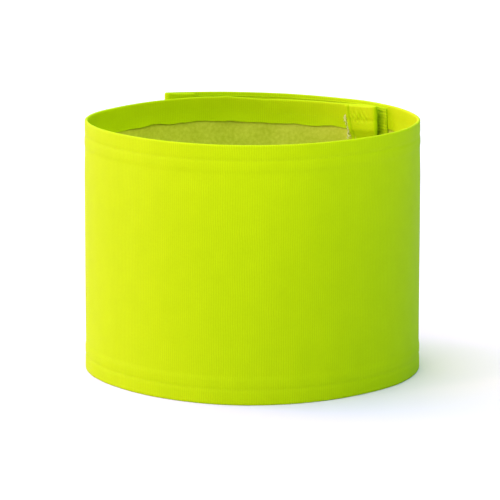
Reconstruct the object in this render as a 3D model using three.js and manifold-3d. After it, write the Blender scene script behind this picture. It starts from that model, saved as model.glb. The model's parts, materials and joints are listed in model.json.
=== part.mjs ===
import * as THREE from 'three';
import { mergeVertices } from 'three/addons/utils/BufferGeometryUtils.js';
import Module from 'manifold-3d';

// A hi-vis armband: one strip of woven cloth, hemmed along both edges and folded back at both ends,
// closed into a ring by hook tape on its inner end and loop tape inside its outer end.
// The band stands on its bottom hem, with its axis on +Z, its front at -Y and its closure at +Y.
//
// Lengths are in millimetres. Angles are in degrees round the band from the middle of its front,
// positive along the side that ends outside, negative along the side that ends inside.
// Depths are measured inwards from the outer face of the cloth, so a negative depth stands outside it.

const wasm = await Module();
wasm.setup();

// Driving dimensions
const bandRadius = 65.6;
const bandHeight = 100;
const clothThickness = 0.5;
const hemDepth = 10;
const hemSeamInset = 6;
const innerEndFold = 17;
const innerEndSeamInset = 15;
const innerEndSeamEdgeInset = 3;
const outerEndFold = 12;
const outerEndSeamInset = 10;
const overlapLength = 98;
const closureAngle = 169.2;
const loopTapeReach = 4.5;
const loopTapeEdgeInset = 1.5;
const loopTapeThickness = 0.9;
const hookTapeWidth = 16;
const hookTapeEndInset = 0.8;
const hookTapeEdgeInset = 8;
const hookTapeThickness = 0.8;
const tapeSeamInset = 1.8;
const threadThickness = 0.4;

// The cloth bends all along its length. It is divided here into panels that turn on upright axes.
const frontHalfAngle = 33;
const leftPanelCount = 4;
const rightPanelCount = 2;
const flapPanelCount = 3;
const layerGap = 0.3;
const panelGap = 0.3;
const threadEndGap = 0.9;
const flareLength = 55;
const arcStep = 5;

const CLOTH = { color: 0xc6dc10, roughness: 0.78 };
const THREAD = { color: 0xd2e43a, roughness: 0.6 };
const LOOP_TAPE = { color: 0x9fb812, roughness: 0.95 };
const HOOK_TAPE = { color: 0xb2c61e, roughness: 0.55 };

// Angles and depths that follow from the driving dimensions
const overlapAngle = arcAngle(overlapLength);
const outerEndAngle = closureAngle + overlapAngle / 2;
const innerEndAngle = closureAngle - overlapAngle / 2 - 360;
const loopTapeEndAngle = outerEndAngle - arcAngle(outerEndFold + layerGap);
const loopTapeStartAngle = innerEndAngle + 360 - arcAngle(loopTapeReach);
const flapStartAngle = loopTapeStartAngle - arcAngle(threadEndGap);
const hemInnerDepth = 2 * clothThickness + layerGap;
const foldInnerDepth = hemInnerDepth + layerGap + clothThickness;
const loopTapeDepth = hemInnerDepth + layerGap;
const layerSpread = loopTapeDepth + loopTapeThickness + layerGap + hookTapeThickness + layerGap;
const band = new THREE.Group();

function arcAngle(length) {
  return THREE.MathUtils.radToDeg(length / bandRadius);
}

// The two ends lie one over the other, so the outer one swells out and the inner one draws in
// by half of what lies between them, before they meet.
function clothRadius(angle) {
  const flareAngle = arcAngle(flareLength);
  if (angle > 0) {
    const out = THREE.MathUtils.smoothstep(angle, flapStartAngle - flareAngle, flapStartAngle);
    return bandRadius + (layerSpread / 2) * out;
  }
  const meetAngle = 360 - outerEndAngle;
  const inwards = THREE.MathUtils.smoothstep(-angle, meetAngle - flareAngle, meetAngle);
  return bandRadius - (layerSpread / 2) * inwards;
}

function planPoint(angle, depth) {
  const radius = clothRadius(angle) - depth;
  const turn = THREE.MathUtils.degToRad(angle);
  return new THREE.Vector2(radius * Math.sin(turn), -radius * Math.cos(turn));
}

// A strip of even thickness that follows the band between two angles, two depths and two heights.
function strip(angles, depths, heights) {
  const [from, to] = angles;
  const [outerDepth, innerDepth] = depths;
  const [bottom, top] = heights;
  const steps = Math.max(1, Math.ceil((to - from) / arcStep));
  const outer = [];
  const inner = [];
  for (let step = 0; step <= steps; step += 1) {
    const angle = from + ((to - from) * step) / steps;
    outer.push(planPoint(angle, outerDepth));
    inner.unshift(planPoint(angle, innerDepth));
  }
  const outline = new THREE.Shape([...outer, ...inner]);
  const geometry = new THREE.ExtrudeGeometry(outline, { depth: top - bottom, bevelEnabled: false });
  geometry.translate(0, 0, bottom);
  return geometry;
}

function toSolid(geometry) {
  geometry.deleteAttribute('normal');
  geometry.deleteAttribute('uv');
  const merged = mergeVertices(geometry);
  return new wasm.Manifold(new wasm.Mesh({
    numProp: 3,
    vertProperties: merged.attributes.position.array,
    triVerts: new Uint32Array(merged.index.array),
  }));
}

function joined(geometries) {
  const body = geometries.map(toSolid).reduce((whole, part) => whole.add(part));
  const mesh = body.getMesh();
  const geometry = new THREE.BufferGeometry();
  geometry.setAttribute('position', new THREE.BufferAttribute(mesh.vertProperties, 3));
  geometry.setIndex(new THREE.BufferAttribute(mesh.triVerts, 1));
  geometry.computeVertexNormals();
  return geometry;
}

function addPiece(name, look, geometries) {
  const material = new THREE.MeshStandardMaterial({ ...look, metalness: 0 });
  const piece = new THREE.Mesh(joined(geometries), material);
  piece.name = name;
  band.add(piece);
}

function heightsFromEdges(inset) {
  return [inset, bandHeight - inset];
}

// Cloth: the wall, and the hem turned in over it along the bottom and top edges.
function clothWall(angles) {
  return strip(angles, [0, clothThickness], [0, bandHeight]);
}

function turnedHem(angles, atTop) {
  const edge = atTop ? [bandHeight - clothThickness, bandHeight] : [0, clothThickness];
  const turnedIn = atTop ? [bandHeight - hemDepth, bandHeight] : [0, hemDepth];
  return [
    strip(angles, [0, hemInnerDepth], edge),
    strip(angles, [clothThickness + layerGap, hemInnerDepth], turnedIn),
  ];
}

// The short end of the band, folded back inside over both hems. The way back is -1 at the outer end.
function foldedEnd(endAngle, foldLength, wayBack) {
  const lip = [endAngle, endAngle + wayBack * arcAngle(clothThickness)].sort((a, b) => a - b);
  const back = [endAngle, endAngle + wayBack * arcAngle(foldLength)].sort((a, b) => a - b);
  return [
    strip(lip, [0, foldInnerDepth], [0, bandHeight]),
    strip(back, [hemInnerDepth + layerGap, foldInnerDepth], [0, bandHeight]),
  ];
}

// Sewing thread, as a raised line on the face it is seen on.
function threadAlong(angles, height, depth) {
  const half = threadThickness / 2;
  return strip(angles, [depth, depth + threadThickness], [height - half, height + half]);
}

function threadUp(angle, heights, depth) {
  const half = arcAngle(threadThickness) / 2;
  return strip([angle - half, angle + half], [depth, depth + threadThickness], heights);
}

const outerThreadDepth = -layerGap - threadThickness;
const innerThreadDepth = foldInnerDepth + layerGap;

function addPanel(panel) {
  const { name, from, to, fold } = panel;
  addPiece(`cloth_${name}`, CLOTH, [
    clothWall([from, to]),
    ...turnedHem([from, to], false),
    ...turnedHem([from, to], true),
    ...(fold ? foldedEnd(fold.angle, fold.length, fold.wayBack) : []),
  ]);
  const pullBack = arcAngle(threadEndGap - panelGap / 2);
  const seam = [from + pullBack, to - pullBack];
  const [lower, upper] = heightsFromEdges(hemSeamInset);
  addPiece(`bottom_hem_thread_${name}`, THREAD, [threadAlong(seam, lower, outerThreadDepth)]);
  addPiece(`top_hem_thread_${name}`, THREAD, [threadAlong(seam, upper, outerThreadDepth)]);
}

// Even divisions of a stretch of the band, each a panelGap short of the next.
function divide(prefix, from, to, count) {
  const width = (to - from) / count;
  const trim = arcAngle(panelGap) / 2;
  return Array.from({ length: count }, (_, index) => ({
    name: `${prefix}_${index + 1}`,
    from: from + index * width + trim,
    to: from + (index + 1) * width - trim,
  }));
}

function panels() {
  const trim = arcAngle(panelGap) / 2;
  const front = { name: 'front', from: -frontHalfAngle + trim, to: frontHalfAngle - trim };
  const right = divide('right', frontHalfAngle, flapStartAngle, rightPanelCount);
  const flap = divide('flap', flapStartAngle, outerEndAngle, flapPanelCount);
  const left = divide('left', innerEndAngle, -frontHalfAngle, leftPanelCount).reverse();
  left.forEach((panel, index) => {
    panel.name = `left_${index + 1}`;
  });
  const outerEnd = flap.at(-1);
  outerEnd.to = outerEndAngle;
  outerEnd.fold = { angle: outerEndAngle, length: outerEndFold, wayBack: -1 };
  const innerEnd = left.at(-1);
  innerEnd.name = 'inner_end';
  innerEnd.from = innerEndAngle;
  innerEnd.fold = { angle: innerEndAngle, length: innerEndFold, wayBack: 1 };
  return { all: [front, ...right, ...flap, ...left], flap };
}

// Loop tape inside the flap, one length for each flap panel, sewn down along both its long sides.
function addLoopTape(flapPanels) {
  const lastIndex = flapPanels.length - 1;
  const tapeDepths = [loopTapeDepth, loopTapeDepth + loopTapeThickness];
  const pullBack = arcAngle(threadEndGap - panelGap / 2);
  const inset = arcAngle(tapeSeamInset);
  const [lower, upper] = heightsFromEdges(loopTapeEdgeInset + tapeSeamInset);
  flapPanels.forEach((panel, index) => {
    const from = index === 0 ? loopTapeStartAngle : panel.from;
    const to = index === lastIndex ? loopTapeEndAngle : panel.to;
    const number = index + 1;
    addPiece(`loop_tape_${number}`, LOOP_TAPE, [
      strip([from, to], tapeDepths, heightsFromEdges(loopTapeEdgeInset)),
    ]);
    const seam = [
      from + (index === 0 ? inset : pullBack),
      to - (index === lastIndex ? inset : pullBack),
    ];
    addPiece(`loop_tape_lower_thread_${number}`, THREAD, [threadAlong(seam, lower, outerThreadDepth)]);
    addPiece(`loop_tape_upper_thread_${number}`, THREAD, [threadAlong(seam, upper, outerThreadDepth)]);
  });
  addUprightThread('loop_tape_start_thread', loopTapeStartAngle + inset);
  addUprightThread('loop_tape_end_thread', loopTapeEndAngle - inset);
}

// An upright seam on the outer face, between the two hem seams.
function addUprightThread(name, angle) {
  const clearOfHemSeam = hemSeamInset + threadThickness / 2 + layerGap;
  addPiece(name, THREAD, [threadUp(angle, heightsFromEdges(clearOfHemSeam), outerThreadDepth)]);
}

// Hook tape on the outer face of the inner end. Its seam shows inside, on the folded-back cloth.
function addHookTape() {
  const from = innerEndAngle + arcAngle(hookTapeEndInset);
  const to = from + arcAngle(hookTapeWidth);
  const depths = [-layerGap - hookTapeThickness, -layerGap];
  addPiece('hook_tape', HOOK_TAPE, [strip([from, to], depths, heightsFromEdges(hookTapeEdgeInset))]);

  const endSeamAngle = innerEndAngle + arcAngle(innerEndSeamInset);
  const tipSide = from + arcAngle(tapeSeamInset);
  const foldSide = endSeamAngle - arcAngle(threadThickness / 2 + layerGap);
  const [lower, upper] = heightsFromEdges(hookTapeEdgeInset + tapeSeamInset);
  const half = threadThickness / 2;
  addPiece('hook_tape_thread', THREAD, [
    threadAlong([tipSide, foldSide], lower, innerThreadDepth),
    threadAlong([tipSide, foldSide], upper, innerThreadDepth),
    threadUp(tipSide, [lower - half, upper + half], innerThreadDepth),
  ]);
  addPiece('inner_end_thread', THREAD, [
    threadUp(endSeamAngle, heightsFromEdges(innerEndSeamEdgeInset), innerThreadDepth),
  ]);
}

const cloth = panels();
cloth.all.forEach(addPanel);
addLoopTape(cloth.flap);
addHookTape();
addUprightThread('outer_end_thread', outerEndAngle - arcAngle(outerEndSeamInset));

// The origin is the middle of the footprint, on the surface that the band stands on.
const footprint = new THREE.Box3().setFromObject(band);
const centre = footprint.getCenter(new THREE.Vector3());
band.position.set(-centre.x, -centre.y, -footprint.min.z);

export default band;
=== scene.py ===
"""A hi-vis armband: one hemmed strip of woven cloth that closes into a ring with hook and loop tape.

The cloth, tapes and stitches are laid out flat, as angle round the band against length across it,
and are then rolled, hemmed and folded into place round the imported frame.
"""
import json
import math

import bmesh
import bpy
from bpy.props import FloatProperty, IntProperty, PointerProperty, StringProperty
from mathutils import Matrix, Vector, noise


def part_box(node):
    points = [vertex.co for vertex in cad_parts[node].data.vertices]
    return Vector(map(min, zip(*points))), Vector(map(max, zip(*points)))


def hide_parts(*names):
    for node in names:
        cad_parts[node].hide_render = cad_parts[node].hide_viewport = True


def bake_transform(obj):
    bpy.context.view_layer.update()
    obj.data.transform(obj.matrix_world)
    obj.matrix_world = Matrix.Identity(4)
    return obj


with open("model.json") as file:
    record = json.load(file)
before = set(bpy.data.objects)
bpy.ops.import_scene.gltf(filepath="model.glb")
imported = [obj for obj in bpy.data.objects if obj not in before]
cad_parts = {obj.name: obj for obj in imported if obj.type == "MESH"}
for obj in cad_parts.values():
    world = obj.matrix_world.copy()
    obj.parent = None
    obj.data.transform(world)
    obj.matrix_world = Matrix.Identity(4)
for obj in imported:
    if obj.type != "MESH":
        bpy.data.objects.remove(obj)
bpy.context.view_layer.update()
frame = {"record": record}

bl_info = {
    "name": "Hook and loop armband",
    "version": (1, 0, 0),
    "blender": (4, 5, 0),
    "location": "3D Viewport > Sidebar > Armband",
    "description": "Builds the cloth, tapes and stitching of a hi-vis armband round its packed frame",
    "category": "Add Mesh",
}

MM = 0.001
LAYER_GAP = 0.05 * MM


# ----------------------------------------
# The band's plan, from the frame. Angles are in degrees from the middle of the front,
# positive along the side that ends outside and negative along the side that ends inside.

HINGES = {joint["name"]: joint for joint in frame["record"]["behaviour"]["joints"]}
RIGHT_HINGES = ("band_open", "right_bend", "flap_peel", "flap_bend_2", "flap_bend_3")
LEFT_HINGES = ("left_bend_1", "left_bend_2", "left_bend_3", "inner_end_bend")


def hinge_place(name):
    return Vector(HINGES[name]["pos_m"])


def find_circle():
    """The front's centre of curvature and radius, from its outer face and its two hinges."""
    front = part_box("cloth_front")[0].y
    right, left = hinge_place(RIGHT_HINGES[0]), hinge_place(LEFT_HINGES[0])
    half_chord = (right - left).length / 2
    rise = right.y - front
    radius = (half_chord ** 2 + rise ** 2) / (2 * rise)
    return Vector(((right.x + left.x) / 2, front + radius, 0)), radius


AXIS, RADIUS = find_circle()
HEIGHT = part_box("cloth_front")[1].z


def hinge_angle(name, side):
    place = hinge_place(name)
    angle = math.degrees(math.atan2(place.x - AXIS.x, AXIS.y - place.y))
    return angle if angle * side > 0 else angle + 360 * side


def hinge_radius(name):
    place = hinge_place(name)
    return math.hypot(place.x - AXIS.x, place.y - AXIS.y)


RIGHT_ANGLES = [hinge_angle(name, 1) for name in RIGHT_HINGES]
LEFT_ANGLES = [hinge_angle(name, -1) for name in LEFT_HINGES]
# The last panel on each side is as long as the one before it.
OUTER_END = 2 * RIGHT_ANGLES[-1] - RIGHT_ANGLES[-2]
INNER_END = 2 * LEFT_ANGLES[-1] - LEFT_ANGLES[-2]
FLAP_START = RIGHT_ANGLES[2]
MEETING = INNER_END + 360
OUTER_SWELL = hinge_radius("flap_peel") - RADIUS
INNER_SWELL = hinge_radius("inner_end_bend") - RADIUS

BODY_NODES = frame["record"]["behaviour"]["bodies"]
BODIES = [HINGES[name]["child"] for name in reversed(LEFT_HINGES)]
BODIES += ["front"] + [HINGES[name]["child"] for name in RIGHT_HINGES]
BOUNDS = [INNER_END, *reversed(LEFT_ANGLES), *RIGHT_ANGLES, OUTER_END]
MIDDLES = [(low + high) / 2 for low, high in zip(BOUNDS, BOUNDS[1:])]


def arc_degrees(length):
    return math.degrees(length / RADIUS)


def smoothstep(value, low, high):
    t = min(1.0, max(0.0, (value - low) / (high - low)))
    return t * t * (3 - 2 * t)


def mix(a, b, t):
    return a + (b - a) * t


# ----------------------------------------
# Settings


def length_mm(name, description, default):
    return FloatProperty(
        name=name, description=description, default=default * MM, unit="LENGTH", precision=5
    )


def colour(name, description, default):
    return StringProperty(name=name, description=description, default=default)


class ARMBAND_PG_cloth(bpy.types.PropertyGroup):
    thickness: length_mm("Thickness", "Thickness of the coated woven cloth", 0.45)
    hem_depth: length_mm("Hem depth", "How far each long edge is turned in", 10.0)
    hem_fold_radius: length_mm("Hem fold radius", "Outer radius of the turned edge", 0.65)
    hem_seam_inset: length_mm("Hem seam inset", "Seam's distance from the turned edge", 6.0)
    inner_fold: length_mm("Inner end fold", "How far the inner end is folded back", 17.0)
    inner_seam: length_mm("Inner end seam", "Seam's distance from the inner end", 15.0)
    seam_lean: length_mm("Seam lean", "How far the inner end's seam leans below the hem", 2.3)
    outer_fold: length_mm("Outer end fold", "How far the outer end is folded back", 12.0)
    outer_seam: length_mm("Outer end seam", "Seam's distance from the outer end", 10.0)
    flare: length_mm("Flare", "Length over which the two ends draw apart", 55.0)
    flap_lift: length_mm("Flap lift", "How much higher the outer end was closed", 2.5)
    inner_droop: length_mm("Inner droop", "How far the inner end's top edge dips", 0.85)


class ARMBAND_PG_tape(bpy.types.PropertyGroup):
    loop_reach: length_mm("Loop reach", "Loop tape showing past the inner end", 3.6)
    loop_inset: length_mm("Loop inset", "Loop tape's distance from the long edges", 1.5)
    loop_thickness: length_mm("Loop tape ground", "Thickness of the loop tape's ground", 0.6)
    loop_height: length_mm("Loop height", "Height of the pile of loops", 0.6)
    hook_width: length_mm("Hook tape width", "Width of the hook tape", 16.0)
    hook_end_inset: length_mm("Hook end inset", "Hook tape's distance from the inner end", 0.8)
    hook_inset: length_mm("Hook inset", "Hook tape's distance from the long edges", 8.0)
    hook_thickness: length_mm("Hook tape ground", "Thickness of the hook tape's ground", 0.5)
    hook_height: length_mm("Hook height", "Height of the hooks", 0.85)
    seam_inset: length_mm("Tape seam inset", "Seam's distance from a tape's edges", 1.8)


class ARMBAND_PG_stitch(bpy.types.PropertyGroup):
    length: length_mm("Stitch length", "Visible length of one stitch", 2.3)
    gap: length_mm("Stitch gap", "Cloth between one stitch and the next", 0.5)
    radius: length_mm("Thread radius", "Half the thickness of the thread", 0.13)


class ARMBAND_PG_colours(bpy.types.PropertyGroup):
    cloth: colour("Cloth", "Fluorescent face of the cloth", "#AED404")
    # cloth_deep is painted shade between the ribs of the cloth and in the thread's twist, and a plain darker
    # tone on the hook tape.
    cloth_deep: colour("Cloth, deep", "Between the ribs of the cloth", "#A0C602")
    reverse: colour("Reverse", "Coated back of the cloth", "#C2D240")
    # reverse_deep is painted shade in the hollows of the coated back, mixed with a cloudy tone.
    reverse_deep: colour("Reverse, deep", "Pores in the coated back", "#AABE2A")
    thread: colour("Thread", "Sewing thread", "#A8CE04")
    loop_tape: colour("Loop tape", "Pile of the loop tape", "#B2D800")
    # loop_deep is painted shade between the rows of loops.
    loop_deep: colour("Loop tape, deep", "Between the loops", "#9CC000")
    hook_tape: colour("Hook tape", "Hooks and their ground", "#A4BC20")
    tail: colour("Thread tails", "Pale, untwisted ends of thread", "#E2EFA0")
    # tail_deep is painted shade between the fibres of the thread tails.
    tail_deep: colour("Thread tails, deep", "Between their fibres", "#BCD060")
    floor: colour("Floor", "Plain floor", "#E2E2E2")
    floor_light: colour("Floor, light", "Lightest mottle of the floor", "#E6E6E6")


class ARMBAND_PG_stage(bpy.types.PropertyGroup):
    camera_distance: length_mm("Distance", "Camera's distance from the band's axis", 1313.3)
    camera_height: length_mm("Height", "Camera's height above the floor", 293.8)
    camera_side: length_mm("Side", "Camera's distance to the left of the axis", 0.85)
    camera_lens: FloatProperty(name="Lens", description="Focal length in mm", default=242.2)
    camera_pitch: FloatProperty(
        name="Pitch", description="Downward tilt", default=math.radians(10.62), subtype="ANGLE"
    )
    light: FloatProperty(name="Light", description="Strength of the surroundings", default=1.0)
    column_step: length_mm("Column step", "Spacing of the cloth's columns", 1.2)
    seed: IntProperty(name="Seed", description="Seed of the cloth's small waves", default=3)


def settings():
    return bpy.context.scene.armband


# ----------------------------------------
# The cloth's shape

# How far the soft ring lies off a true circle: turns per round, cosine and sine share.
PLAN_WAVES = ((2, 0.0055, 0.0008), (3, 0.0071, 0.0023), (4, 0.0138, -0.0042))


def wave_noise(*coordinates):
    x, y, z = (*coordinates, 0.0, 0.0)[:3]
    return noise.noise(Vector((x, y, z + 7.3 * settings().stage.seed)))


def wall_radius(angle):
    """Radius of the cloth's outer face. The two ends draw apart by the layers between them."""
    flare = arc_degrees(settings().cloth.flare)
    turn = math.radians(angle)
    lie = sum(c * math.cos(k * turn) + s * math.sin(k * turn) for k, c, s in PLAN_WAVES)
    radius = RADIUS * (1 + lie)
    if angle > 0:
        return radius + OUTER_SWELL * smoothstep(angle, FLAP_START - flare, FLAP_START)
    meet = 360 - OUTER_END
    return radius + INNER_SWELL * smoothstep(-angle, meet - flare, meet)


def bell(value, middle, width):
    return math.exp(-(((value - middle) / width) ** 2))


# Places where the top edge stands high: their angle, their width in degrees and their height.
FLAP_ROOT_RISE = (126, 15, 0.5 * MM)
TENT_RISE = (-170.5, 2.6, 0.35 * MM)
LEFT_RISE = 0.65 * MM


def lift(angle, height):
    """The outer end was closed a little high, and the inner end's top edge dips under it."""
    cloth = settings().cloth
    near_top = smoothstep(height / HEIGHT, 0.3, 1.0)
    if angle > 0:
        raised = max(0.0, (angle - FLAP_START) / (OUTER_END - FLAP_START))
        middle, width, rise = FLAP_ROOT_RISE
        tilt = raised ** 2 + 0.17 * smoothstep(raised, 0, 0.2)
        return cloth.flap_lift * tilt + rise * bell(angle, middle, width) * near_top
    dip = smoothstep(-angle, 172, 186) * (1 - smoothstep(-angle, 212, 234))
    middle, width, rise = TENT_RISE
    tent = rise * bell(angle, middle, width)
    left = LEFT_RISE * smoothstep(-angle, 112, 148) * (1 - smoothstep(-angle, 160, 176))
    return (tent + left - cloth.inner_droop * dip) * near_top


SLOW_WAVE = 0.22 * MM
QUICK_WAVE = 0.07 * MM
RIM_DRAWN_IN = 0.5 * MM
RIM_ZONE = 24 * MM


def wander(angle, height):
    """Slow waves of the cloth in and out, and the top rim drawn in by its hem."""
    along = angle / 17
    up = height / (34 * MM)
    slow = SLOW_WAVE * wave_noise(along, up * 0.6)
    quick = QUICK_WAVE * wave_noise(along * 2.9, up * 1.7, 5.0)
    return slow + quick - RIM_DRAWN_IN * smoothstep(height, HEIGHT - RIM_ZONE, HEIGHT)


def place(angle, depth, height):
    radius = wall_radius(angle) - depth + wander(angle, height)
    turn = math.radians(angle)
    return Vector((
        AXIS.x + radius * math.sin(turn),
        AXIS.y - radius * math.cos(turn),
        height + lift(angle, height),
    ))


SEAM_GROOVE = 0.2 * MM
SEAM_GROOVE_WIDTH = 0.7 * MM
HEM_SWELL = 0.26 * MM
CLOSEST_HEM = 0.06 * MM


class Section:
    """The cloth's face side, followed from one raw edge round both hems to the other."""

    def __init__(self):
        cloth = settings().cloth
        self.thickness = cloth.thickness
        self.hem = cloth.hem_depth
        self.seam = cloth.hem_seam_inset
        self.radius = cloth.hem_fold_radius
        self.turned = self.hem - self.radius
        self.fold = math.pi * self.radius
        self.wall = HEIGHT - 2 * self.radius
        self.length = 2 * (self.turned + self.fold) + self.wall
        self.ends = (
            (INNER_END, cloth.inner_fold),
            (OUTER_END, cloth.outer_fold),
        )

    def across(self, height):
        """Length across the flat cloth to a height on its outer face."""
        return self.turned + self.fold + height - self.radius

    def stations(self):
        half = even(0, self.turned, 11)
        half += even(self.turned, self.turned + self.fold, 8)[1:]
        start = self.turned + self.fold
        half += even(start, start + 13 * MM, 26)[1:]
        middle = even(half[-1], self.length - half[-1], 22)[1:-1]
        return half + middle + [self.length - p for p in reversed(half)]

    def pressed(self, angle):
        """1 where the hem is held flat by a tape or a folded end, 0 where it is free."""
        inner = 1 - smoothstep(angle, INNER_END + arc_degrees(20 * MM), INNER_END + arc_degrees(26 * MM))
        outer = smoothstep(angle, FLAP_START - 6, FLAP_START)
        return max(inner, outer)

    def hem_edge(self, angle, top):
        """How far the raw edge was turned in at an angle, and how far it stands off the wall."""
        row = 11.0 if top else 2.0
        free = 1 - self.pressed(angle)
        depth = self.hem + (0.8 * wave_noise(angle / 9, row) + 0.3 * wave_noise(angle / 3, row)) * MM
        gap = (0.35 + 0.45 * wave_noise(angle / 13, row, 3.0)) * MM
        return depth, max(CLOSEST_HEM, gap * free)

    def deepest(self):
        """Depth of the hem's inmost face, just under its turned edge."""
        return 2 * self.radius + self.wall_depth(self.radius)

    def wall_depth(self, height):
        """The face is pulled in at the seam, and the doubled hem stands out a little."""
        from_edge = min(height, HEIGHT - height)
        groove = SEAM_GROOVE * bell(from_edge, self.seam, SEAM_GROOVE_WIDTH)
        swell = 1 - smoothstep(from_edge, self.hem - 0.9 * MM, self.hem + 1.4 * MM)
        return groove - HEM_SWELL * swell

    def at(self, p, angle):
        """Depth and height of the face side at a length p across the flat cloth."""
        if p > self.length / 2:
            depth, height = self.half(self.length - p, angle, True)
            return depth, HEIGHT - height
        return self.half(p, angle, False)

    def half(self, p, angle, top):
        if p >= self.turned + self.fold:
            height = self.radius + p - self.turned - self.fold
            return self.wall_depth(height), height
        rim = self.wall_depth(self.radius)
        if p >= self.turned:
            turn = math.pi * (p - self.turned) / self.fold
            depth = rim + self.radius * (1 + math.cos(turn))
            return depth, self.radius * (1 - math.sin(turn))
        edge_height, gap = self.hem_edge(angle, top)
        height = mix(edge_height, self.radius, p / self.turned)
        doubled = 2 * self.thickness + LAYER_GAP
        at_seam = doubled + self.wall_depth(self.seam)
        if height < self.seam:
            blend = smoothstep(height, self.radius, self.seam)
            return mix(rim + 2 * self.radius, at_seam, blend), height
        blend = smoothstep(height, self.seam, self.hem)
        return mix(at_seam, doubled + self.wall_depth(height) + gap, blend), height


def even(start, end, count):
    return [start + (end - start) * index / count for index in range(count + 1)]


# Cloth used up by the turn of a folded end.
FOLD_ARC = 1.6 * MM
TUCK = 0.35 * MM


def folded_back(section, angle, p, end, side):
    """A point past the band's end, where the strip turns round on itself and comes back inside."""
    past = abs(angle - end) * math.radians(1) * RADIUS
    depth, height = section.at(p, end)
    near_edge = 1 - smoothstep(min(height, HEIGHT - height), 10 * MM, 14 * MM)
    doubled = 2 * section.thickness + LAYER_GAP
    stack = mix(doubled, 2 * section.deepest() + LAYER_GAP, near_edge)
    back_depth = stack - depth
    bend = (back_depth - depth) / 2
    if past < FOLD_ARC:
        turn = math.pi * past / FOLD_ARC
        return end + side * arc_degrees(bend * math.sin(turn)), depth + bend * (1 - math.cos(turn)), height
    share = height / HEIGHT
    back = (past - FOLD_ARC) * raw_edge_share(share, side)
    tuck = TUCK * smoothstep(back, 0, 4 * MM)
    shrunk = mix(tuck, HEIGHT - tuck, share)
    return end - side * arc_degrees(back), back_depth + pucker(back, height, side), shrunk


def raw_edge_share(share, side):
    """The folded-back end was cut a little out of true: narrower below the hem than at the rim."""
    if side > 0:
        return 1.0
    return 1 - 0.16 * slant(1 - share) + 0.02 * wave_noise(share * 9, 4.0)


def slant(share):
    """How far the inner end's seam leans, from 0 at the rim to 1 just below the hem."""
    return smoothstep(share, 0.0, 0.15) * (1 - 0.7 * smoothstep(share, 0.3, 0.8))


def inner_seam_back(height):
    """The inner end's seam, as a distance from the fold."""
    return settings().cloth.inner_seam - settings().cloth.seam_lean * slant(1 - height / HEIGHT)


def inner_seam(height):
    return INNER_END + arc_degrees(inner_seam_back(height))


def outer_seam(_height):
    return OUTER_END - arc_degrees(settings().cloth.outer_seam)


FOLD_GROOVE = 0.7 * MM
FOLD_GROOVE_WIDTH = 0.45 * MM
GATHER = 4.6 * MM
GATHER_WIDTH = 1.9 * MM
CREASE = 0.4 * MM
CREASE_PITCH = 2.64 * MM
CREASE_SLANT = 0.55


def pucker(back, height, side):
    """The seam pulls the folded end in, and gathers its thick corners into small creases."""
    if side > 0:
        return 0.0
    below = min(height, HEIGHT - height)
    from_seam = inner_seam_back(height) - back
    corner = bell(below, GATHER, GATHER_WIDTH)
    gathered = corner * smoothstep(from_seam, 0.2 * MM, 1.2 * MM) * smoothstep(back, 1.5 * MM, 5 * MM)
    creases = CREASE * math.sin(2 * math.pi * (from_seam - CREASE_SLANT * below) / CREASE_PITCH)
    swell = 0.45 * MM * wave_noise(back / (3 * MM), below / (5 * MM), 8.0)
    body = 0.25 * MM * smoothstep(from_seam, 0, 3 * MM) * smoothstep(back, 0, 3 * MM)
    return gathered * (creases + swell) + body - FOLD_GROOVE * bell(from_seam, 0, FOLD_GROOVE_WIDTH)


def folded_face(section, angle, height, end):
    """The innermost face of a folded-back end, at an angle and height on the band."""
    side = 1 if end > 0 else -1
    past = arc_degrees(FOLD_ARC) + abs(end - angle)
    return cloth_point(section, end + side * past, section.across(height))


def cloth_point(section, angle, p):
    if angle > OUTER_END:
        return place(*folded_back(section, angle, p, OUTER_END, 1))
    if angle < INNER_END:
        return place(*folded_back(section, angle, p, INNER_END, -1))
    return place(angle, *section.at(p, angle))


# ----------------------------------------
# Making pieces


class Span:
    """The stretch between the middles of two neighbouring bodies, across the hinge between them."""

    def __init__(self, index):
        self.bodies = (BODIES[index], BODIES[index + 1])
        self.middles = (MIDDLES[index], MIDDLES[index + 1])
        self.low = INNER_END if index == 0 else MIDDLES[index]
        self.high = OUTER_END if index == len(BODIES) - 2 else MIDDLES[index + 1]
        self.name = "_".join(self.bodies)

    def bend(self, piece):
        ends = [place(angle, 0, HEIGHT / 2) for angle in self.middles]
        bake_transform(piece)

    def holds(self, angle):
        return self.low <= angle <= self.high

    def nodes(self, prefix):
        """The CAD nodes of one kind that this stretch stands for."""
        return [node for body in self.bodies for node in BODY_NODES[body] if node.startswith(prefix)]


SPANS = [Span(index) for index in range(len(BODIES) - 1)]
INNER_SPAN, OUTER_SPAN = SPANS[0], SPANS[-1]


def new_piece(name, bm, materials):
    mesh = bpy.data.meshes.new(name)
    bm.to_mesh(mesh)
    bm.free()
    for material in materials:
        mesh.materials.append(material)
    piece = bpy.data.objects.new(name, mesh)
    bpy.context.collection.objects.link(piece)
    return piece


def steps(low, high, size):
    return even(low, high, max(1, math.ceil((high - low) / size)))


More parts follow.
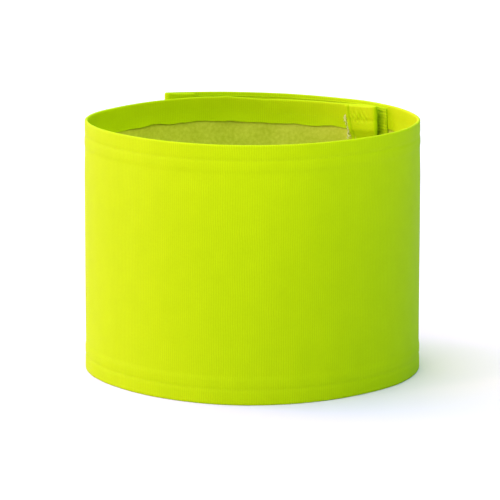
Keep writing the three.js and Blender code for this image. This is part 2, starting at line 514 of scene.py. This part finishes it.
def rolled_sheet(columns, rows, point, thickness):
    """A flat grid rolled into shape, thickened on its reverse. UVs are its flat size in metres."""
    bm = bmesh.new()
    across, up = len(columns) - 1, len(rows) - 1
    bmesh.ops.create_grid(bm, x_segments=across, y_segments=up, size=1.0)
    flat = bm.loops.layers.uv.new("flat")
    spots = {}
    for vert in bm.verts:
        column = columns[round((vert.co.x + 1) / 2 * across)]
        row = rows[round((vert.co.y + 1) / 2 * up)]
        spots[vert] = (math.radians(column) * RADIUS, row)
        vert.co = point(column, row)
    for face in bm.faces:
        face.smooth = True
        for loop in face.loops:
            loop[flat].uv = spots[loop.vert]
    face_side = bm.faces[:]
    bm.normal_update()
    bmesh.ops.solidify(bm, geom=face_side, thickness=thickness)
    bm.normal_update()
    facing = set(face_side)
    for face in bm.faces:
        face.smooth = True
        face.material_index = 0 if face in facing else 1
    for edge in bm.edges:
        edge.smooth = edge.calc_face_angle(0) < math.radians(55)
    return bm


def add_stitch(bm, start, end, normal, radius):
    """One stitch, pulled down into the cloth."""
    along = (end - start) / 2
    side = along.cross(normal).normalized() * radius
    up = side.cross(along).normalized() * radius
    turned = Matrix((along, side, up)).transposed().to_4x4()
    turned.translation = (start + end) / 2 - normal * radius / 2
    bmesh.ops.create_uvsphere(bm, u_segments=6, v_segments=4, radius=1.0, matrix=turned)


def outward(angle):
    turn = math.radians(angle)
    return Vector((math.sin(turn), -math.cos(turn), 0))


def add_tube(bm, points, radius, sides):
    """A thread through some points, open at both ends."""
    ring = None
    for index, point in enumerate(points):
        before, after = points[max(0, index - 1)], points[min(len(points) - 1, index + 1)]
        matrix = (after - before).to_track_quat("Z", "Y").to_matrix().to_4x4()
        matrix.translation = point
        circle = bmesh.ops.create_circle(bm, segments=sides, radius=radius, matrix=matrix)
        edges = list({edge for vert in circle["verts"] for edge in vert.link_edges})
        fresh = [edge for edge in edges if not edge.link_faces]
        if ring:
            made = bmesh.ops.bridge_loops(bm, edges=ring + fresh)
            for face in made["faces"]:
                face.smooth = True
        ring = fresh


def tube_shape(points, radius, sides):
    """A small tube as a mesh that is not in the scene, to be copied many times."""
    bm = bmesh.new()
    add_tube(bm, points, radius, sides)
    shape = bpy.data.meshes.new("shape")
    bm.to_mesh(shape)
    bm.free()
    return shape


def stand_on(bm, shape, angle, depth, height, facing, turn):
    """Copies a small shape onto the band, standing outwards (facing 1) or inwards (facing -1)."""
    normal = outward(angle) * facing
    up = Matrix.Rotation(turn, 3, normal) @ Vector((0, 0, 1))
    stand = Matrix((up.cross(normal), up, normal)).transposed().to_4x4()
    stand.translation = place(angle, depth, height)
    shape.transform(stand)
    bm.from_mesh(shape)
    shape.transform(stand.inverted())


def stitches_along(bm, low, high, spot, facing):
    """Stitches round the band between two angles. spot gives the cloth's face at an angle."""
    stitch = settings().stitch
    pitch = arc_degrees(stitch.length + stitch.gap)
    first, last = math.ceil(low / pitch), math.floor(high / pitch)
    for number in range(first, last):
        start = number * pitch
        end = start + arc_degrees(stitch.length)
        normal = outward((start + end) / 2) * facing
        add_stitch(bm, spot(start), spot(end), normal, stitch.radius)


def stitches_up(bm, low, high, spot, normal):
    """Stitches in an upright line between two heights. spot gives the cloth's face at a height."""
    stitch = settings().stitch
    pitch = stitch.length + stitch.gap
    for number in range(int((high - low) / pitch)):
        start = low + number * pitch
        add_stitch(bm, spot(start), spot(start + stitch.length), normal, stitch.radius)


# ----------------------------------------
# Materials


def linear(hex_colour):
    """An sRGB hex colour as linear red, green, blue and full alpha."""
    channels = [int(hex_colour[i:i + 2], 16) / 255 for i in (1, 3, 5)]
    return (*[c / 12.92 if c <= 0.04045 else ((c + 0.055) / 1.055) ** 2.4 for c in channels], 1.0)


def add(tree, kind, inputs=None, **settings_of_node):
    """One node, with its settings, its input values and its links."""
    node = tree.nodes.new(kind)
    for name, value in settings_of_node.items():
        setattr(node, name, value)
    for name, value in (inputs or {}).items():
        if isinstance(value, bpy.types.NodeSocket):
            tree.links.new(value, node.inputs[name])
        else:
            node.inputs[name].default_value = value
    return node


def new_material(name):
    """A named material with its Principled shader, ready for its nodes."""
    material = bpy.data.materials.new(name)
    material.use_nodes = True
    tree = material.node_tree
    tree.nodes.clear()
    shader = add(tree, "ShaderNodeBsdfPrincipled")
    add(tree, "ShaderNodeOutputMaterial", {"Surface": shader.outputs["BSDF"]})
    return material, tree, shader


def coordinates(tree, kind):
    """UV, the flat cloth in metres, or Object, the place in the scene."""
    return add(tree, "ShaderNodeTexCoord").outputs[kind]


def speckle(tree, vector, scale, detail=2.0):
    """Cloudy noise from 0 to 1, at a scale in lumps per metre."""
    inputs = {"Vector": vector, "Scale": scale, "Detail": detail}
    return add(tree, "ShaderNodeTexNoise", inputs).outputs["Fac"]


def reckon(tree, operation, *values):
    inputs = dict(enumerate(values))
    return add(tree, "ShaderNodeMath", inputs, operation=operation).outputs[0]


def stretched(tree, value, low, high):
    """A value spread so that low becomes 0 and high becomes 1."""
    inputs = {"Value": value, "From Min": low, "From Max": high}
    return add(tree, "ShaderNodeMapRange", inputs).outputs["Result"]


def ripple(tree, vector, axis, pitch):
    """Even ridges across one axis of the flat cloth, from 0 to 1."""
    parts = add(tree, "ShaderNodeSeparateXYZ", {"Vector": vector})
    phase = reckon(tree, "MULTIPLY", parts.outputs[axis], 2 * math.pi / pitch)
    return stretched(tree, reckon(tree, "SINE", phase), -1.0, 1.0)


def dye(tree, shader, share, deep, light):
    """Base colour between two sRGB hex colours."""
    inputs = {"Factor": share, "A": linear(deep), "B": linear(light)}
    tint = add(tree, "ShaderNodeMix", inputs, data_type="RGBA").outputs["Result"]
    tree.links.new(tint, shader.inputs["Base Color"])


def emboss(tree, shader, height, strength, distance):
    bump = add(tree, "ShaderNodeBump", {"Height": height, "Strength": strength, "Distance": distance})
    tree.links.new(bump.outputs["Normal"], shader.inputs["Normal"])


def polish(shader, roughness, specular):
    shader.inputs["Roughness"].default_value = roughness
    shader.inputs["Specular IOR Level"].default_value = specular


def woven_polyester_face():
    """Fluorescent woven polyester: a fine upright rib with painted shade in the grooves between the ribs, an
    even dyed colour and a faint sheen.
    """
    colours = settings().colours
    material, tree, shader = new_material("woven_polyester_face")
    flat = coordinates(tree, "UV")
    sway = add(tree, "ShaderNodeTexNoise", {"Vector": flat, "Scale": 60.0, "Detail": 2.0}).outputs["Color"]
    swayed = add(tree, "ShaderNodeVectorMath", {0: sway, "Scale": 1.6 * MM}, operation="SCALE").outputs[0]
    laid = add(tree, "ShaderNodeVectorMath", {0: flat, 1: swayed}, operation="ADD").outputs[0]
    ribs = ripple(tree, laid, "X", 0.9 * MM)       # real ribs are about 0.4 mm; drawn coarser to show
    uneven = reckon(tree, "MULTIPLY", ribs, speckle(tree, flat, 120.0))
    weave = reckon(tree, "MULTIPLY_ADD", speckle(tree, flat, 1100.0, 3.0), 0.5, uneven)
    # Painted shade: the colour follows the height of the ribs and grain, darker in the grooves.
    dye(tree, shader, stretched(tree, weave, 0.0, 0.9), colours.cloth_deep, colours.cloth)
    emboss(tree, shader, weave, 0.6, 0.1 * MM)
    polish(shader, 0.62, 0.03)
    return material


def coated_reverse():
    """The cloth's polyurethane-coated back: duller and olive, with a pebbled, porous grain and painted shade
    in its hollows.
    """
    colours = settings().colours
    material, tree, shader = new_material("coated_reverse")
    flat = coordinates(tree, "UV")
    pebbles = speckle(tree, flat, 700.0, 4.0)
    tone = reckon(tree, "ADD", pebbles, speckle(tree, flat, 60.0))
    # Painted shade: the colour follows the pebbles' height, darker in their hollows, with a cloudy tone on
    # top.
    dye(tree, shader, stretched(tree, tone, 0.75, 1.25), colours.reverse_deep, colours.reverse)
    emboss(tree, shader, pebbles, 0.5, 0.12 * MM)
    polish(shader, 0.9, 0.1)
    return material


def spun_thread():
    """Spun polyester sewing thread: a soft twist of fibres in the cloth's own colour, with painted shade in
    the twist's hollows.
    """
    colours = settings().colours
    material, tree, shader = new_material("spun_thread")
    twist = speckle(tree, coordinates(tree, "Object"), 2500.0)
    # Painted shade: the colour follows the twist's height, darker in its hollows.
    dye(tree, shader, twist, colours.cloth_deep, colours.thread)
    emboss(tree, shader, twist, 0.4, 0.05 * MM)
    polish(shader, 0.7, 0.1)
    return material


def frayed_thread():
    """Cut polyester ends: untwisted fibres that scatter light and look almost white, with painted shade
    between the fibres.
    """
    colours = settings().colours
    material, tree, shader = new_material("frayed_thread")
    fibres = speckle(tree, coordinates(tree, "Object"), 3000.0)
    # Painted shade: darker speckles stand for the shade between the fibres.
    dye(tree, shader, fibres, colours.tail_deep, colours.tail)
    polish(shader, 0.8, 0.5)
    return material


def brushed_loop_pile():
    """Brushed nylon loop tape: soft rows of loops lying crosswise, with painted shade between the rows."""
    colours = settings().colours
    material, tree, shader = new_material("brushed_loop_pile")
    flat = coordinates(tree, "UV")
    rows = ripple(tree, flat, "Y", 1.2 * MM)
    height = reckon(tree, "MULTIPLY_ADD", rows, 0.5, speckle(tree, flat, 1400.0, 3.0))
    # Painted shade: the colour follows the rows' height, darker between them.
    dye(tree, shader, stretched(tree, height, 0.3, 1.1), colours.loop_deep, colours.loop_tape)
    emboss(tree, shader, height, 0.5, 0.2 * MM)
    polish(shader, 0.85, 0.1)
    return material


def hook_nylon():
    """Nylon hook tape: a woven ground with stiff, slightly glossy monofilament hooks."""
    colours = settings().colours
    material, tree, shader = new_material("hook_nylon")
    tone = speckle(tree, coordinates(tree, "Object"), 1200.0)
    dye(tree, shader, tone, colours.cloth_deep, colours.hook_tape)
    polish(shader, 0.42, 0.5)
    return material


def matt_floor():
    """Matt painted board: almost white, with a very faint mottle."""
    colours = settings().colours
    material, tree, shader = new_material("matt_floor")
    mottle = speckle(tree, coordinates(tree, "Object"), 8.0)
    dye(tree, shader, mottle, colours.floor, colours.floor_light)
    polish(shader, 0.9, 0.0)
    return material


def finish_of(maker):
    """The material that a maker function makes, made once."""
    return bpy.data.materials.get(maker.__name__) or maker()


# ----------------------------------------
# Operators


class ARMBAND_OT_cloth(bpy.types.Operator):
    """Roll, hem and fold the strip of woven cloth, in stretches that meet at the middles of the bodies"""

    bl_idname = "armband.cloth"
    bl_label = "Band cloth"

    def columns(self, span):
        cloth = settings().cloth
        columns = steps(span.low, span.high, arc_degrees(settings().stage.column_step))
        arc = arc_degrees(FOLD_ARC)
        for end, fold, side in ((INNER_END, cloth.inner_fold, -1), (OUTER_END, cloth.outer_fold, 1)):
            if end not in (span.low, span.high):
                continue
            turned = even(end, end + side * arc, 8)[1:]
            flat = even(turned[-1], turned[-1] + side * arc_degrees(fold), 44 if side < 0 else 14)[1:]
            columns = sorted(columns + turned + flat)
        return columns

    def execute(self, context):
        section = Section()
        finish = [finish_of(woven_polyester_face), finish_of(coated_reverse)]
        for span in SPANS:
            columns = self.columns(span)
            bm = rolled_sheet(
                columns,
                section.stations(),
                lambda angle, p: cloth_point(section, angle, p),
                section.thickness,
            )
            piece = new_piece(f"cloth_{span.name}", bm, finish)
            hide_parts(*span.nodes("cloth_"))
            span.bend(piece)
        return {"FINISHED"}


def stitch_piece(name, bm, span, nodes):
    piece = new_piece(name, bm, [finish_of(spun_thread)])
    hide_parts(*nodes)
    span.bend(piece)


class ARMBAND_OT_hem_stitches(bpy.types.Operator):
    """Sew the top and bottom hems, with stitches on both faces of the cloth"""

    bl_idname = "armband.hem_stitches"
    bl_label = "Hem stitches"

    def execute(self, context):
        section = Section()
        # The seam's place across the flat cloth, on the turned-in part and on the outer face.
        lines = ((section.hem - section.seam, -1), (section.across(section.seam), 1))
        for edge, mirrored in (("bottom", False), ("top", True)):
            for span in SPANS:
                bm = bmesh.new()
                for flat, facing in lines:
                    p = section.length - flat if mirrored else flat
                    stitches_along(
                        bm, span.low, span.high, lambda angle: cloth_point(section, angle, p), facing
                    )
                nodes = span.nodes(f"{edge}_hem_thread")
                stitch_piece(f"{edge}_hem_stitches_{span.name}", bm, span, nodes)
        return {"FINISHED"}


def over_hems(height):
    """Depth of something laid over both hems, which sinks towards the wall between them."""
    near_edge = 1 - smoothstep(min(height, HEIGHT - height), 9 * MM, 15 * MM)
    layer = settings().cloth.thickness + LAYER_GAP
    return mix(layer, 2 * layer, near_edge)


def loop_tape_ends():
    tape = settings().tape
    start = MEETING - arc_degrees(tape.loop_reach)
    return start, OUTER_END - arc_degrees(settings().cloth.outer_fold + 0.3 * MM)


def loop_tape_seams():
    """The tape's seams: two angles and two heights."""
    tape = settings().tape
    start, end = loop_tape_ends()
    inset = arc_degrees(tape.seam_inset)
    low = tape.loop_inset + tape.seam_inset
    return (start + inset, end - inset), (low, HEIGHT - low)


def loop_face(angle, height):
    """Depth of the loop tape's face: crosswise ribs and small lumps, pressed in at its seams."""
    tape = settings().tape
    uprights, lines = loop_tape_seams()
    to_line = min(abs(height - line) for line in lines)
    to_upright = min(abs(angle - upright) for upright in uprights)
    to_seam = min(to_line, math.radians(to_upright) * RADIUS)
    pressed = bell(to_seam, 0, 0.8 * MM)
    rib = 0.5 + 0.5 * math.cos(2 * math.pi * height / (1.5 * MM) + wave_noise(angle, 4.0))
    lump = wave_noise(angle * 1.7, height / (1.1 * MM), 2.0)
    face = (0.1 * rib + 0.1 * lump) * MM * (1 - pressed) - 0.12 * MM * pressed
    return over_hems(height) + tape.loop_thickness + face


# Spacing of the standing loops along and across the tape, and each loop's half width.
LOOP_COLUMN = 2.2 * MM
LOOP_ROW = 2.6 * MM
LOOP_HALF = 0.5 * MM
LOOP_THREAD = 0.05 * MM


class ARMBAND_OT_loop_tape(bpy.types.Operator):
    """Lay the loop tape inside the outer end, ribbed crosswise and covered in small loops"""

    bl_idname = "armband.loop_tape"
    bl_label = "Loop tape"

    def loops(self, low, high):
        bm = bmesh.new()
        tape = settings().tape
        arc = even(0, math.pi, 6)
        points = [Vector((LOOP_HALF * math.cos(t), 0, tape.loop_height * math.sin(t))) for t in arc]
        shape = tube_shape(points, LOOP_THREAD, 4)
        lowest = tape.loop_inset + tape.seam_inset + 1.5 * MM
        for row, height in enumerate(steps(lowest, HEIGHT - lowest, LOOP_ROW)):
            for column, angle in enumerate(steps(low, high, arc_degrees(LOOP_COLUMN))):
                spread = wave_noise(row * 1.3, column * 1.7, 6.0)
                at = angle + arc_degrees(LOOP_COLUMN / 2) * ((row % 2) + spread)
                if low < at < high:
                    up = height + spread * MM
                    stand_on(bm, shape, at, loop_face(at, up) - 0.1 * MM, up, -1, 2.5 * spread)
        return bm

    def execute(self, context):
        tape = settings().tape
        start, end = loop_tape_ends()
        rows = steps(tape.loop_inset, HEIGHT - tape.loop_inset, 0.3 * MM)
        for span in SPANS:
            low, high = max(span.low, start), min(span.high, end)
            if low >= high:
                continue
            bm = rolled_sheet(
                steps(high, low, arc_degrees(-0.9 * MM)), rows,
                lambda angle, height: place(angle, loop_face(angle, height), height),
                tape.loop_thickness,
            )
            ground = new_piece(f"loop_tape_{span.name}", bm, [finish_of(brushed_loop_pile)])
            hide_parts(*[node for node in span.nodes("loop_tape") if "thread" not in node])
            pile = new_piece(f"loop_pile_{span.name}", self.loops(low, high), [finish_of(brushed_loop_pile)])
            for piece in (ground, pile):
                span.bend(piece)
        return {"FINISHED"}


class ARMBAND_OT_loop_tape_stitches(bpy.types.Operator):
    """Sew the loop tape down all round"""

    bl_idname = "armband.loop_tape_stitches"
    bl_label = "Loop tape stitches"

    def execute(self, context):
        section = Section()
        uprights, lines = loop_tape_seams()
        for span in SPANS:
            low, high = max(span.low, uprights[0]), min(span.high, uprights[1])
            if low >= high:
                continue
            bm = bmesh.new()
            for line in lines:
                outside = section.across(line)
                stitches_along(bm, low, high, lambda angle: cloth_point(section, angle, outside), 1)
                stitches_along(bm, low, high, lambda angle: place(angle, loop_face(angle, line), line), -1)
            for upright in uprights:
                if span.holds(upright):
                    self.upright(bm, section, upright, lines)
            nodes = [node for node in span.nodes("loop_tape") if "thread" in node]
            stitch_piece(f"loop_tape_stitches_{span.name}", bm, span, nodes)
        return {"FINISHED"}

    def upright(self, bm, section, angle, lines):
        normal = outward(angle)
        stitches_up(
            bm, *lines, lambda height: cloth_point(section, angle, section.across(height)), normal
        )
        stitches_up(bm, *lines, lambda height: place(angle, loop_face(angle, height), height), -normal)


# One hook's outline in millimetres, sideways and up, and the spacing of the hooks.
HOOK_OUTLINE = ((0, 0), (0, 0.4), (0.06, 0.66), (0.2, 0.8), (0.36, 0.74), (0.42, 0.58))
HOOK_THREAD = 0.07 * MM
HOOK_COLUMN = 1.3 * MM
HOOK_ROW = 1.7 * MM


class ARMBAND_OT_hook_tape(bpy.types.Operator):
    """Lay the hook tape on the outer face of the inner end, with its rows of small hooks"""

    bl_idname = "armband.hook_tape"
    bl_label = "Hook tape"

    def execute(self, context):
        tape = settings().tape
        span = INNER_SPAN
        low = INNER_END + arc_degrees(tape.hook_end_inset)
        high = low + arc_degrees(tape.hook_width)
        face = -LAYER_GAP - tape.hook_thickness
        bottom, top = tape.hook_inset, HEIGHT - tape.hook_inset
        bm = rolled_sheet(
            steps(low, high, arc_degrees(1 * MM)), steps(bottom, top, 2 * MM),
            lambda angle, height: place(angle, face, height),
            tape.hook_thickness,
        )
        ground = new_piece("hook_tape_ground", bm, [finish_of(hook_nylon)])
        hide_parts("hook_tape")
        bm = bmesh.new()
        scale = tape.hook_height / max(up for _, up in HOOK_OUTLINE)
        shape = tube_shape([Vector((x, 0, z)) * scale for x, z in HOOK_OUTLINE], HOOK_THREAD, 5)
        margin = tape.seam_inset + 0.9 * MM
        columns = steps(low + arc_degrees(margin), high - arc_degrees(margin), arc_degrees(HOOK_COLUMN))
        for row, height in enumerate(steps(bottom + margin, top - margin, HOOK_ROW)):
            for angle in columns:
                stand_on(bm, shape, angle, face, height, 1, 0 if row % 2 else math.pi)
        hooks = new_piece("hook_tape_hooks", bm, [finish_of(hook_nylon)])
        for piece in (ground, hooks):
            span.bend(piece)
        return {"FINISHED"}


RIM_TAILS = 7
LOWER_TAILS = 9
TAIL_RADIUS = 0.2 * MM


class ARMBAND_OT_end_stitches(bpy.types.Operator):
    """Sew down both folded ends and the hook tape, and leave the inner end's thread tails hanging"""

    bl_idname = "armband.end_stitches"
    bl_label = "End stitches"

    def execute(self, context):
        self.section = Section()
        inner, outer = bmesh.new(), bmesh.new()
        self.across_end(inner, inner_seam, INNER_END, 1.5 * MM)
        self.across_end(outer, outer_seam, OUTER_END, self.section.seam + 1 * MM)
        stitch_piece("inner_end_stitches", inner, INNER_SPAN, ["inner_end_thread"])
        self.tails()
        stitch_piece("outer_end_stitches", outer, OUTER_SPAN, ["outer_end_thread"])
        self.hook_tape()
        return {"FINISHED"}

    def across_end(self, bm, seam, end, inset):
        normal = outward(seam(HEIGHT / 2))
        section = self.section

        def outside(height):
            return cloth_point(section, seam(height), section.across(height))

        def inside(height):
            return folded_face(section, seam(height), height, end)

        stitches_up(bm, inset, HEIGHT - inset, outside, normal)
        stitches_up(bm, inset, HEIGHT - inset, inside, -normal)

    def tails(self):
        """Cut thread ends and frayed yarns along the folded-back edge, most of them near the rim."""
        bm = bmesh.new()
        for number in range(RIM_TAILS + LOWER_TAILS):
            if number < RIM_TAILS:
                height = HEIGHT - (2.6 + 1.25 * number) * MM
                longest = 3.4 * MM
            else:
                height = HEIGHT * (RIM_TAILS + LOWER_TAILS + 1 - number) / 11.5
                longest = 1.4 * MM
            length = longest * (1 + 0.4 * wave_noise(number * 1.9, 2.0))
            edge = INNER_END + arc_degrees(settings().cloth.inner_fold * raw_edge_share(height / HEIGHT, -1))
            points = []
            for share in even(0, 1, 6):
                sway = (1.0 * share + 2.6 * wave_noise(share * 2.2, number * 3.1)) * MM
                depth = (1.35 + 0.5 * share * (1 - share) + 0.3 * math.sin(number)) * MM
                points.append(place(edge + arc_degrees(sway), depth, height - length * share))
            add_tube(bm, points, TAIL_RADIUS, 5)
        piece = new_piece("inner_end_thread_tails", bm, [finish_of(frayed_thread)])
        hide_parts("inner_end_thread")
        INNER_SPAN.bend(piece)

    def hook_tape(self):
        tape = settings().tape
        section = self.section
        bm = bmesh.new()
        low = INNER_END + arc_degrees(tape.hook_end_inset + tape.seam_inset)
        bottom = tape.hook_inset + tape.seam_inset
        high = INNER_END + arc_degrees(inner_seam_back(HEIGHT - bottom) - 0.8 * MM)
        face = -LAYER_GAP - tape.hook_thickness
        for line in (bottom, HEIGHT - bottom):
            stitches_along(bm, low, high, lambda angle: place(angle, face, line), 1)
            stitches_along(bm, low, high, lambda angle: folded_face(section, angle, line, INNER_END), -1)
        normal = outward(low)
        stitches_up(bm, bottom, HEIGHT - bottom, lambda height: place(low, face, height), normal)
        stitches_up(
            bm, bottom, HEIGHT - bottom,
            lambda height: folded_face(section, low, height, INNER_END), -normal,
        )
        stitch_piece("hook_tape_stitches", bm, INNER_SPAN, ["hook_tape_thread"])


# Light from low and from high up, in even steps from the left to the right.
LOW_GLOW = ((3.0, 0.2, 2.7), (2.0, 0.2, 1.9), (0.8, 0.1, 0.2), (0, 0, 0), (0, 0, 0))
HIGH_GLOW = ((0.6, 1.35, 3.0), (2.1, 2.0, 3.0), (2.6, 2.2, 1.5), (0.28, 0.78, 1.15), (0.05, 0.15, 0.5))
# A lamp low behind the left side: its name, place in metres, power in watts and colour.
RIM_LAMP = ("rim", (-1.8, 0.6, 0.5), 22.0, (1.0, 0.42, 0.95))
RIM_LAMP_SIZE = 0.8
# Narrow lamps that reach over the rim into the ring: name, side, aim in radii, power and colour.
INSIDE_LAMPS = (
    ("inside_left", -1, 0.8, 34.0, (1.0, 0.74, 0.3)),
    ("inside_right", 1, 1.1, 36.0, (1.0, 0.55, 0.5)),
)
INSIDE_LAMP_OFFSET = (-0.67, -0.4, 0.62)
INSIDE_LAMP_DEPTH = 8 * MM
INSIDE_LAMP_CONE = math.radians(8)
INSIDE_LAMP_RADIUS = 0.06
FLOOR_SIZE = 8.0


class ARMBAND_OT_stage(bpy.types.Operator):
    """Lay the pale floor, light it softly from the left and set the camera"""

    bl_idname = "armband.stage"
    bl_label = "Stage"

    def execute(self, context):
        self.floor()
        self.surroundings(context)
        self.lamps()
        self.camera(context)
        return {"FINISHED"}

    def floor(self):
        bm = bmesh.new()
        bmesh.ops.create_grid(bm, x_segments=4, y_segments=4, size=FLOOR_SIZE)
        floor = new_piece("floor", bm, [finish_of(matt_floor)])

    def surroundings(self, context):
        """A soft studio: warm and bright from the left, dim from the right, brightest above."""
        world = bpy.data.worlds.new("studio")
        world.use_nodes = True
        tree = world.node_tree
        tree.nodes.clear()
        way = add(tree, "ShaderNodeTexCoord").outputs["Generated"]
        parts = add(tree, "ShaderNodeSeparateXYZ", {"Vector": way})
        side = add(tree, "ShaderNodeMapRange", {"Value": parts.outputs["X"], "From Min": -1.0})
        above = add(tree, "ShaderNodeMapRange", {
            "Value": parts.outputs["Z"],
            "From Max": 0.45,
        }, interpolation_type="SMOOTHSTEP")
        both = add(tree, "ShaderNodeMix", {"Factor": above.outputs["Result"]}, data_type="RGBA")
        for socket, glow in (("A", LOW_GLOW), ("B", HIGH_GLOW)):
            ramp = add(tree, "ShaderNodeValToRGB", {"Fac": side.outputs["Result"]})
            self.fill(ramp.color_ramp, glow)
            tree.links.new(ramp.outputs["Color"], both.inputs[socket])
        shine = add(tree, "ShaderNodeBackground", {
            "Color": both.outputs["Result"],
            "Strength": settings().stage.light,
        })
        add(tree, "ShaderNodeOutputWorld", {"Surface": shine.outputs["Background"]})
        context.scene.world = world

    def fill(self, ramp, glow):
        """Colours at even steps from the left to the right."""
        ramp.elements[0].color = (*glow[0], 1)
        ramp.elements[1].color = (*glow[-1], 1)
        for index, tint in enumerate(glow[1:-1], 1):
            ramp.elements.new(index / (len(glow) - 1)).color = (*tint, 1)

    def lamp(self, name, kind, location, target, power, tint):
        light = bpy.data.lights.new(name, kind)
        light.energy = power * settings().stage.light
        light.color = tint
        lamp = bpy.data.objects.new(name, light)
        bpy.context.collection.objects.link(lamp)
        lamp.location = location
        lamp.rotation_euler = (target - location).to_track_quat("-Z", "Y").to_euler()
        return light

    def lamps(self):
        name, location, power, tint = RIM_LAMP
        rim = self.lamp(name, "AREA", Vector(location), AXIS + Vector((0, 0, HEIGHT / 2)), power, tint)
        rim.size = RIM_LAMP_SIZE
        for name, side, reach, power, tint in INSIDE_LAMPS:
            target = AXIS + Vector((side * reach * RADIUS, 0, HEIGHT - INSIDE_LAMP_DEPTH))
            across, forward, up = INSIDE_LAMP_OFFSET
            location = target + Vector((side * across, forward, up))
            inside = self.lamp(name, "SPOT", location, target, power, tint)
            inside.spot_size = INSIDE_LAMP_CONE
            inside.spot_blend = 1.0
            inside.shadow_soft_size = INSIDE_LAMP_RADIUS

    def camera(self, context):
        stage = settings().stage
        data = bpy.data.cameras.new("camera")
        data.lens = stage.camera_lens
        data.clip_end = 50
        camera = bpy.data.objects.new("camera", data)
        context.collection.objects.link(camera)
        camera.location = (AXIS.x - stage.camera_side, AXIS.y - stage.camera_distance, stage.camera_height)
        camera.rotation_euler = (math.pi / 2 - stage.camera_pitch, 0, 0)
        context.scene.camera = camera
        context.scene.view_settings.view_transform = "Standard"


class ARMBAND_PG_all(bpy.types.PropertyGroup):
    cloth: PointerProperty(type=ARMBAND_PG_cloth)
    tape: PointerProperty(type=ARMBAND_PG_tape)
    stitch: PointerProperty(type=ARMBAND_PG_stitch)
    colours: PointerProperty(type=ARMBAND_PG_colours)
    stage: PointerProperty(type=ARMBAND_PG_stage)


OPERATORS = (
    ARMBAND_OT_cloth,
    ARMBAND_OT_hem_stitches,
    ARMBAND_OT_loop_tape,
    ARMBAND_OT_loop_tape_stitches,
    ARMBAND_OT_hook_tape,
    ARMBAND_OT_end_stitches,
    ARMBAND_OT_stage,
)


class ARMBAND_PT_sidebar(bpy.types.Panel):
    """The armband's pieces, in the order in which they are made"""

    bl_label = "Armband"
    bl_idname = "ARMBAND_PT_sidebar"
    bl_space_type = "VIEW_3D"
    bl_region_type = "UI"
    bl_category = "Armband"

    def draw(self, context):
        for operator in OPERATORS:
            self.layout.operator(operator.bl_idname)


CLASSES = (
    ARMBAND_PG_cloth,
    ARMBAND_PG_tape,
    ARMBAND_PG_stitch,
    ARMBAND_PG_colours,
    ARMBAND_PG_stage,
    ARMBAND_PG_all,
    *OPERATORS,
    ARMBAND_PT_sidebar,
)


def register():
    for cls in CLASSES:
        bpy.utils.register_class(cls)
    bpy.types.Scene.armband = PointerProperty(type=ARMBAND_PG_all)


def unregister():
    del bpy.types.Scene.armband
    for cls in reversed(CLASSES):
        bpy.utils.unregister_class(cls)


def main():
    register()
    for operator in OPERATORS:
        group, name = operator.bl_idname.split(".")
        getattr(getattr(bpy.ops, group), name)()


if __name__ == "__main__":
    main()
